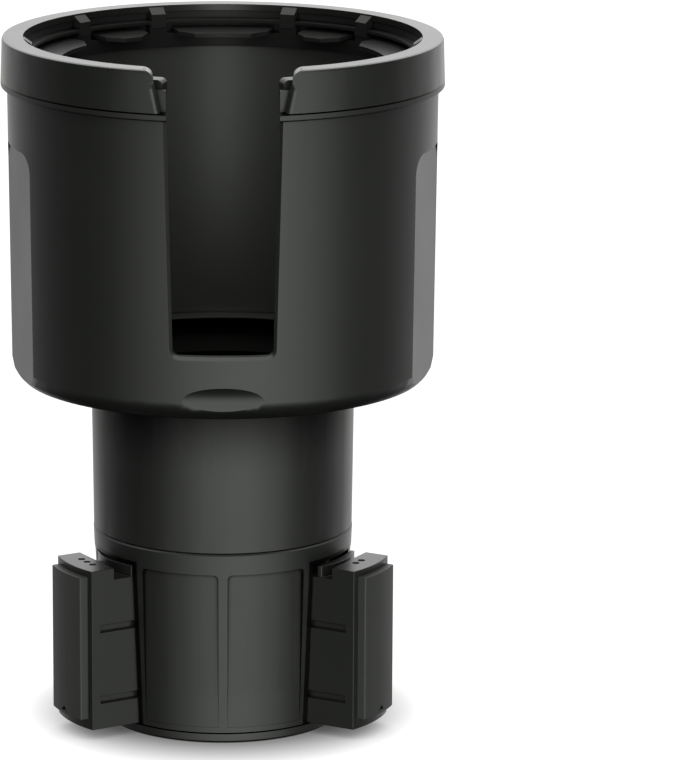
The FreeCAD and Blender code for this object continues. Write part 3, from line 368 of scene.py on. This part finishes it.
# Materials
BLACK = (0.0, 0.0, 0.0, 1.0)
GREENISH = (0.96, 1.0, 0.94, 1.0)
CHARCOAL = (0.0090, 0.0100, 0.0088, 1.0)
BORE_PAINTED_LIGHT = (0.032, 0.034, 0.031, 1.0)
RUBBER_BLACK = (0.0120, 0.0130, 0.0118, 1.0)
PAD_BLACK = (0.0290, 0.0310, 0.0282, 1.0)
ZINC = (0.45, 0.45, 0.46, 1.0)
TONE_CHANGE = 0.12
ROUGHNESS_CHANGE = 0.08
CREVICE_SPAN = 0.45


def moulded(name, tone, roughness, specular, grain, joints=(), reach=0.0010, open_share=0.80,
            wall=None, bowl=False, ways=False, metal=False):
    """A moulded plastic, rubber or steel: grain (scale, depth), painted shade in crevices, and dark
    lines of painted shade at joint gaps and under ledges, given as (height, radius) pairs."""
    material = bpy.data.materials.new(name)
    material.use_nodes = True
    tree = material.node_tree
    shader = tree.nodes["Principled BSDF"]
    shader.inputs["Specular IOR Level"].default_value = specular
    surface = place_group(tree, GRAIN, Tone=tone, Tone_Change=TONE_CHANGE, Roughness=roughness,
                          Roughness_Change=ROUGHNESS_CHANGE, Grain_Scale=grain[0],
                          Grain_Depth=grain[1])
    colour = surface.outputs["Colour"]
    # Painted shade: dark is 1 where shade is painted, in crevices, on joint lines, beside the ways
    # and in the well
    dark = place_group(tree, CREVICE_SHADE, Reach=reach, Open=open_share,
                       Closed=open_share - CREVICE_SPAN).outputs["Crevice"]
    for height, radius in joints:
        line = place_group(tree, JOINT_SHADE, Height=height, Half_Width=JOINT_HALF_WIDTH,
                           From_Radius=radius)
        dark = combine(tree, "MAXIMUM", dark, line.outputs["Line"])
    if ways:
        beside = place_group(tree, WAY_STRIP_SHADE).outputs["Beside"]
        dark = combine(tree, "MAXIMUM", dark, combine(tree, "MULTIPLY", beside, WAY_SHADE))
    normal = add(tree, "ShaderNodeNewGeometry").outputs["Normal"]
    if wall:
        turned = place_group(tree, ROUND_WALL, **wall)
        normal = either(tree, "VECTOR", normal, turned.outputs["Normal"], turned.outputs["Wall"])
    if bowl:
        inside = place_group(tree, BOWL)
        # Painted light makes the bore paler than the outside, and painted shade darkens the well
        colour = either(tree, "RGBA", colour, BORE_PAINTED_LIGHT, inside.outputs["Bore"])
        dark = combine(tree, "MAXIMUM", dark, inside.outputs["Well"])
        dimple = place_group(tree, DIMPLE)
        normal = either(tree, "VECTOR", normal, dimple.outputs["Normal"],
                        dimple.outputs["Dimple"])
    tree.links.new(normal, surface.inputs["Surface"])
    tree.links.new(either(tree, "RGBA", colour, BLACK, dark), shader.inputs["Base Color"])
    tree.links.new(surface.outputs["Roughness"], shader.inputs["Roughness"])
    tree.links.new(surface.outputs["Normal"], shader.inputs["Normal"])
    if metal:
        shader.inputs["Metallic"].default_value = 1.0
    else:
        # Painted shade: a black metal reflects nothing, so the painted crevices, joint lines,
        # way strips and well stay dark under a bright sky
        shader.inputs["Specular Tint"].default_value = GREENISH
        tree.links.new(dark, shader.inputs["Metallic"])
    return material


BOWL_WALL = turned_wall(foot=(0.0541, 0.0945), top=(0.05475, 0.1649))
HOUSING_WALL = turned_wall(foot=(0.0316, PLATE_TOP), top=(0.0335, HOUSING_TOP), rounding=0.0004)
# The shell's second dark line is painted shade on the wall just under the flange, not a joint
SHELL = moulded("shell_plastic", CHARCOAL, 0.36, 0.6, grain=(2200.0, 0.2), wall=BOWL_WALL,
                joints=((BAND_FOOT, OUTSIDE), (FLANGE_FOOT - JOINT_HALF_WIDTH, OUTSIDE)),
                bowl=True)
BASE = moulded("base_plastic", CHARCOAL, 0.35, 0.6, grain=(2200.0, 0.2), wall=HOUSING_WALL,
               joints=((PLATE_TOP, 0.0),), reach=0.0013, open_share=0.93, ways=True)
ARM = moulded("arm_plastic", CHARCOAL, 0.33, 0.5, grain=(2400.0, 0.15))
RIM = moulded("rim_plastic", CHARCOAL, 0.28, 0.6, grain=(2400.0, 0.12),
              joints=((BAND_FOOT, OUTSIDE),))
PAD = moulded("pad_rubber", PAD_BLACK, 0.50, 0.5, grain=(1600.0, 0.3))
GRIP = moulded("grip_rubber", RUBBER_BLACK, 0.32, 0.22, grain=(1600.0, 0.2))
STEEL = moulded("screw_steel", ZINC, 0.35, 0.5, grain=(900.0, 0.1), metal=True)

# Material of each kind of node, and the radius that its mould leaves on the edges. The first
# kind that a node's name starts with counts.
FINISH = {
    "base_screw": (STEEL, 0.0001), "hub_screw": (STEEL, 0.0001), "arm_pad": (PAD, 0.0003),
    "arm": (ARM, 0.0002), "cup_shell": (SHELL, 0.0003), "rim_band": (RIM, 0.0004),
    "grip_ring": (GRIP, 0.0003), "scroll_plate": (BASE, 0.0002), "base_plate": (BASE, 0.0002),
    "base_housing": (BASE, 0.0002),
}
WELD_DISTANCE = 0.000002
FLAT_ANGLE = math.radians(0.6)
SHARP_ANGLE = math.radians(32.0)
ROUNDING_STEPS = 2
LARGE_FACE_WEIGHT = 90


def finish(node, material, edge):
    """Gives a solid its material and softens its sharp edges."""
    node.data.materials.clear()
    node.data.materials.append(material)
    weld = node.modifiers.new("weld", "WELD")
    weld.merge_threshold = WELD_DISTANCE
    flat = node.modifiers.new("flat_faces", "DECIMATE")
    flat.decimate_type = "DISSOLVE"
    flat.angle_limit = FLAT_ANGLE
    bevel = node.modifiers.new("edge_round", "BEVEL")
    bevel.limit_method = "ANGLE"
    bevel.angle_limit = SHARP_ANGLE
    bevel.width = edge
    bevel.segments = ROUNDING_STEPS
    bevel.use_clamp_overlap = True
    for face in node.data.polygons:
        face.use_smooth = True
    normals = node.modifiers.new("even_shading", "WEIGHTED_NORMAL")
    normals.mode = "FACE_AREA"
    normals.weight = LARGE_FACE_WEIGHT


for name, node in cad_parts.items():
    kind = next(key for key in FINISH if name.startswith(key))
    finish(node, *FINISH[kind])

# Light. The world lights the object from all round. Its brightness from the back (0) to the
# front (1) is given at (1 + cos) / 2 of the angle, WALLS above the horizon and FOREGROUND below.
KEY_TURN = math.radians(4.0)
LEFT_SHARE = 0.50
RIGHT_GAIN = 0.70
WALLS = [(0.0, 1.9), (0.08, 0.8), (0.22, 0.6), (0.36, 0.22), (0.52, 0.05), (0.72, 0.08),
         (0.86, 0.62), (1.0, 2.1)]
FOREGROUND = [(0.0, 1.3), (0.07, 0.95), (0.25, 0.42), (0.5, 0.12), (0.7, 0.18), (0.88, 1.2),
              (1.0, 2.2)]
FOREGROUND_END = (-0.62, -0.34)
HORIZON_BLUR = 0.01
CEILING = 2.9
CEILING_DROP = 0.42
CEILING_EDGE = (0.55, 0.9)
WHITE = (1.0, 1.0, 1.0, 1.0)


def ramp(tree, source, stops):
    """A smooth curve from 0..1 to a grey value, through (place, value) stops."""
    curve = add(tree, "ShaderNodeValToRGB")
    curve.color_ramp.interpolation = "EASE"
    points = curve.color_ramp.elements
    while len(points) < len(stops):
        points.new(0.5)
    for point, (place, value) in zip(points, stops):
        point.position = place
        point.color = (value, value, value, 1)
    tree.links.new(source, curve.inputs["Fac"])
    return curve.outputs["Color"]


def studio_group():
    """Where a direction lies in the studio: Front is 1 straight behind the camera and 0 at the
    back, Side is the gain from the left to the right, and Up is its height."""
    group, entry, leave = new_group(
        "studio_direction", [("Direction", "NodeSocketVector", (0, -1, 0))],
        [("Front", "NodeSocketFloat"), ("Side", "NodeSocketFloat"), ("Up", "NodeSocketFloat")])
    direction = entry.outputs["Direction"]
    level = on_vectors(group, "NORMALIZE", on_vectors(group, "MULTIPLY", direction, (1, 1, 0)))
    half = RIGHT_GAIN / 2
    front = (math.sin(KEY_TURN), -math.cos(KEY_TURN), 0)
    for label, axis, gain, start in (("Front", front, 0.5, 0.5),
                                     ("Side", (1, 0, 0), half, LEFT_SHARE + half)):
        along = on_vectors(group, "DOT_PRODUCT", level, axis)
        group.links.new(calculate(group, "MULTIPLY_ADD", along, gain, start),
                        leave.inputs[label])
    parts = add(group, "ShaderNodeSeparateXYZ")
    group.links.new(on_vectors(group, "NORMALIZE", direction), parts.inputs[0])
    group.links.new(parts.outputs["Z"], leave.inputs["Up"])
    return group


STUDIO = studio_group()


def studio_world():
    """A large soft light in front, paler sides behind, dark gaps between and a soft ceiling."""
    world = bpy.data.worlds.new("studio")
    world.use_nodes = True
    tree = world.node_tree
    around = place_group(tree, STUDIO)
    place = add(tree, "ShaderNodeTexCoord").outputs["Generated"]
    tree.links.new(place, around.inputs["Direction"])
    front, side, height = (around.outputs[label] for label in ("Front", "Side", "Up"))
    walls = scaled(tree, ramp(tree, front, WALLS), side)
    low = scaled(tree, ramp(tree, front, FOREGROUND), side)
    low = scaled(tree, low, step_up(tree, height, *FOREGROUND_END))
    lit = either(tree, "RGBA", walls, low, step_up(tree, height, HORIZON_BLUR, -HORIZON_BLUR))
    ceiling = calculate(tree, "MULTIPLY_ADD", front, -CEILING * CEILING_DROP, CEILING)
    lit = either(tree, "RGBA", lit, ceiling, step_up(tree, height, *CEILING_EDGE))
    rays = add(tree, "ShaderNodeLightPath")
    shown = either(tree, "RGBA", lit, WHITE, rays.outputs["Is Camera Ray"])
    tree.links.new(shown, tree.nodes["Background"].inputs["Color"])
    tree.nodes["Background"].inputs["Strength"].default_value = 1.0
    return world


# Floor. It shows paper to the camera, with painted shadow near the object and round the base's
# foot.
FLOOR_SIZE = 8.0
PAPER_SHADE = (0.1, 0.1, 0.1, 1.0)
PAPER_ROUGHNESS = 0.9
SHADOW_REACH = 0.05
SHADOW_RANGE = (-0.45, 0.97)
SHADOW_CORE_RADIUS = 0.033
SHADOW_CORE_END = 0.051
SHADOW_CORE_TONE = 0.30


def paper_material():
    """White paper to the camera, with a soft shade near the object. Other rays pass it."""
    material = bpy.data.materials.new("paper")
    material.use_nodes = True
    tree = material.node_tree
    link = tree.links.new
    shader = tree.nodes["Principled BSDF"]
    shader.inputs["Base Color"].default_value = PAPER_SHADE
    shader.inputs["Roughness"].default_value = PAPER_ROUGHNESS
    shader.inputs["Specular IOR Level"].default_value = 0.0
    shader.inputs["Emission Color"].default_value = WHITE
    # Painted shadow: the paper's glow falls near the object and in a disc under the base
    near = add(tree, "ShaderNodeAmbientOcclusion")
    near.inputs["Distance"].default_value = SHADOW_REACH
    open_sky = step_up(tree, near.outputs["AO"], *SHADOW_RANGE)
    place = add(tree, "ShaderNodeTexCoord").outputs["Object"]
    core = add(tree, "ShaderNodeMapRange")
    core.inputs["From Min"].default_value = SHADOW_CORE_RADIUS
    core.inputs["From Max"].default_value = SHADOW_CORE_END
    core.inputs["To Min"].default_value = SHADOW_CORE_TONE
    link(on_vectors(tree, "LENGTH", place), core.inputs["Value"])
    link(combine(tree, "MULTIPLY", open_sky, core.outputs["Result"]),
         shader.inputs["Emission Strength"])
    rays = add(tree, "ShaderNodeLightPath")
    clear = add(tree, "ShaderNodeBsdfTransparent")
    seen = add(tree, "ShaderNodeMixShader")
    link(rays.outputs["Is Camera Ray"], seen.inputs[0])
    link(clear.outputs[0], seen.inputs[1])
    link(shader.outputs[0], seen.inputs[2])
    link(seen.outputs[0], tree.nodes["Material Output"].inputs["Surface"])
    return material


bpy.ops.object.select_all(action="DESELECT")
bpy.ops.mesh.primitive_plane_add(size=FLOOR_SIZE, location=(0, 0, 0))
floor = bpy.context.object
floor.name = "floor"
floor.data.materials.append(paper_material())
bpy.context.scene.world = studio_world()
